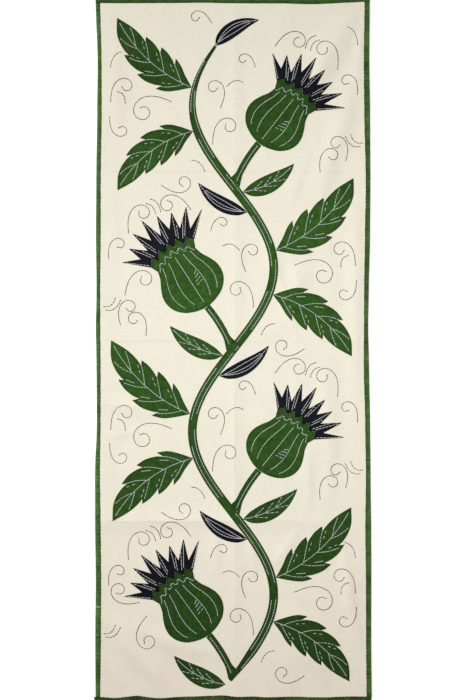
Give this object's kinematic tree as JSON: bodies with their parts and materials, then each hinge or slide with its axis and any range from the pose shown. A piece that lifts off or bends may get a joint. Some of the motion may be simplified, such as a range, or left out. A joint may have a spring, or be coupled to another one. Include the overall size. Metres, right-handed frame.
{
  "type": "applique panel",
  "caption": "Tall cream cotton panel bound in green, with a vine of green and dark blue cloth patches sewn on, lying flat and face up.",
  "frame": {"origin": "middle of the panel's outline, on the surface that it lies on", "axes": "+X towards the panel's right side, +Y towards its top end, +Z out of its face"},
  "size_m": [0.504, 1.276, 0.009],
  "materials": {
    "cream_cotton": "matt plain weave",
    "green_cotton": "matt plain weave",
    "navy_cotton": "matt plain weave"
  },
  "bodies": {
    "root": {"ground_cloth": "cream_cotton", "binding_left": "green_cotton", "binding_right": "green_cotton", "binding_top": "green_cotton", "binding_bottom": "green_cotton", "stem": "green_cotton", "branch_1": "green_cotton", "bulb_1": "green_cotton", "lower_leaf_1": "green_cotton", "upper_leaf_1": "green_cotton", "plain_leaf_1": "green_cotton", "branch_2": "green_cotton", "bulb_2": "green_cotton", "lower_leaf_2": "green_cotton", "upper_leaf_2": "green_cotton", "plain_leaf_2": "green_cotton", "branch_3": "green_cotton", "bulb_3": "green_cotton", "lower_leaf_3": "green_cotton", "upper_leaf_3": "green_cotton", "plain_leaf_3": "green_cotton", "branch_4": "green_cotton", "bulb_4": "green_cotton", "lower_leaf_4": "green_cotton", "upper_leaf_4": "green_cotton", "plain_leaf_4": "green_cotton", "crown_1": "navy_cotton", "dark_leaf_1": "navy_cotton", "crown_2": "navy_cotton", "dark_leaf_2": "navy_cotton", "crown_3": "navy_cotton", "dark_leaf_3": "navy_cotton", "crown_4": "navy_cotton", "dark_leaf_4": "navy_cotton"}
  },
  "joints": []
}
